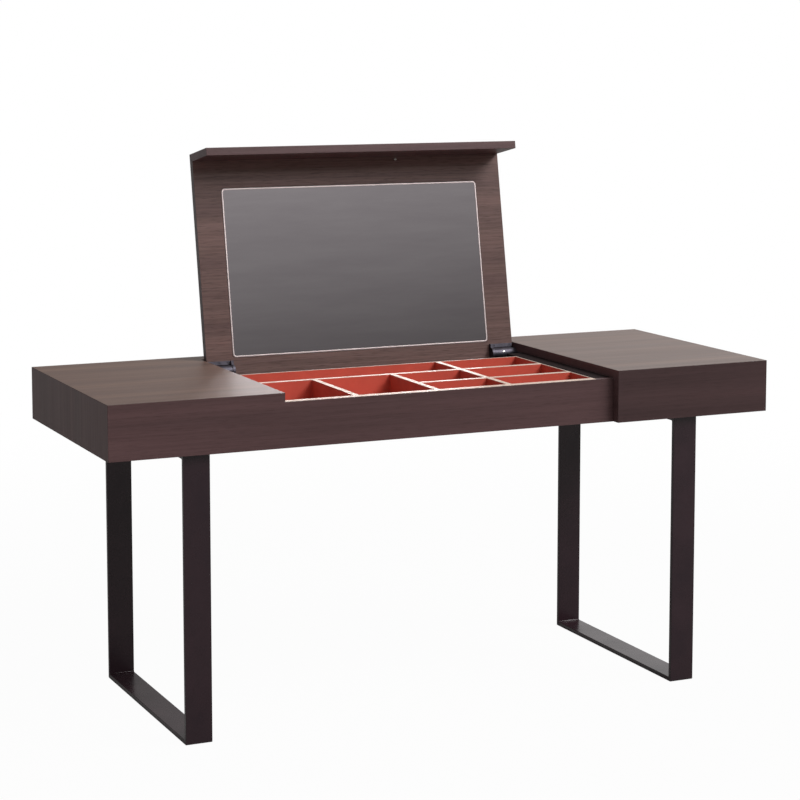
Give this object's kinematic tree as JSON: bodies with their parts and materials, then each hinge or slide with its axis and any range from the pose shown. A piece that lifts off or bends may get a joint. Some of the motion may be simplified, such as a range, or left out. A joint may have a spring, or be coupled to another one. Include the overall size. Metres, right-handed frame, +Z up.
{
  "type": "vanity table",
  "caption": "Free-standing vanity table: slim dark wood body on two flat steel loop legs, with a flip-up mirror lid over a divided tray.",
  "frame": {"origin": "middle of the footprint box at floor level, with the lid open as it is stored", "axes": "+X along the table from the left box to the right box, +Y from the sitter to the back, +Z up"},
  "size_m": [1.6, 0.633, 1.2504],
  "materials": {
    "dark_veneer": "espresso-stained straight-grain veneer, satin lacquer",
    "red_lacquer": "terracotta-red painted board, matt",
    "cream_edging": "cream edge banding, satin",
    "black_steel": "black-brown powder coat, satin",
    "hinge_metal": "gunmetal plating, satin",
    "bright_steel": "plated steel",
    "mirror": "silvered glass",
    "trim_metal": "satin anodised"
  },
  "bodies": {
    "table": {"front_board": "dark_veneer", "back_board": "dark_veneer", "left_end_board": "dark_veneer", "left_top": "dark_veneer", "left_partition": "dark_veneer", "left_bottom": "dark_veneer", "middle_bottom": "dark_veneer", "back_strip": "dark_veneer", "right_top": "dark_veneer", "right_front": "dark_veneer", "right_end_board": "dark_veneer", "right_partition": "dark_veneer", "right_bottom": "dark_veneer", "ledge": "dark_veneer", "tray_battens": "dark_veneer", "tray_base": "red_lacquer", "tray_front_wall": "red_lacquer", "tray_rear_wall": "red_lacquer", "tray_left_wall": "red_lacquer", "tray_right_wall": "red_lacquer", "main_divider": "red_lacquer", "long_divider_left": "red_lacquer", "long_divider_right": "red_lacquer", "short_divider_middle": "red_lacquer", "short_divider_right": "red_lacquer", "cell_divider_left": "red_lacquer", "cell_divider_right": "red_lacquer", "tray_front_rim": "cream_edging", "tray_edging": "cream_edging", "divider_edging": "cream_edging", "hinge_body_left": "hinge_metal", "hinge_body_right": "hinge_metal", "hinge_body_screws": "hinge_metal", "catch_strike": "bright_steel", "left_front_leg": "black_steel", "left_foot_bar": "black_steel", "left_rear_leg": "black_steel", "left_top_bar": "black_steel", "left_loop_bolts": "black_steel", "right_front_leg": "black_steel", "right_foot_bar": "black_steel", "right_rear_leg": "black_steel", "right_top_bar": "black_steel", "right_loop_bolts": "black_steel"},
    "lid": {"lid_panel": "dark_veneer", "lid_lip": "dark_veneer", "mirror_glass": "mirror", "mirror_trim": "trim_metal", "hinge_arm_left": "hinge_metal", "hinge_arm_right": "hinge_metal", "hinge_arm_screws": "hinge_metal", "catch_magnet": "bright_steel"}
  },
  "joints": [
    {"name": "lid_hinge", "type": "hinge", "parent": "table", "child": "lid", "pos_m": [0, 0.19898, 0.726], "axis": [1, 0, 0], "range_deg": [0, 100.5]}
  ]
}
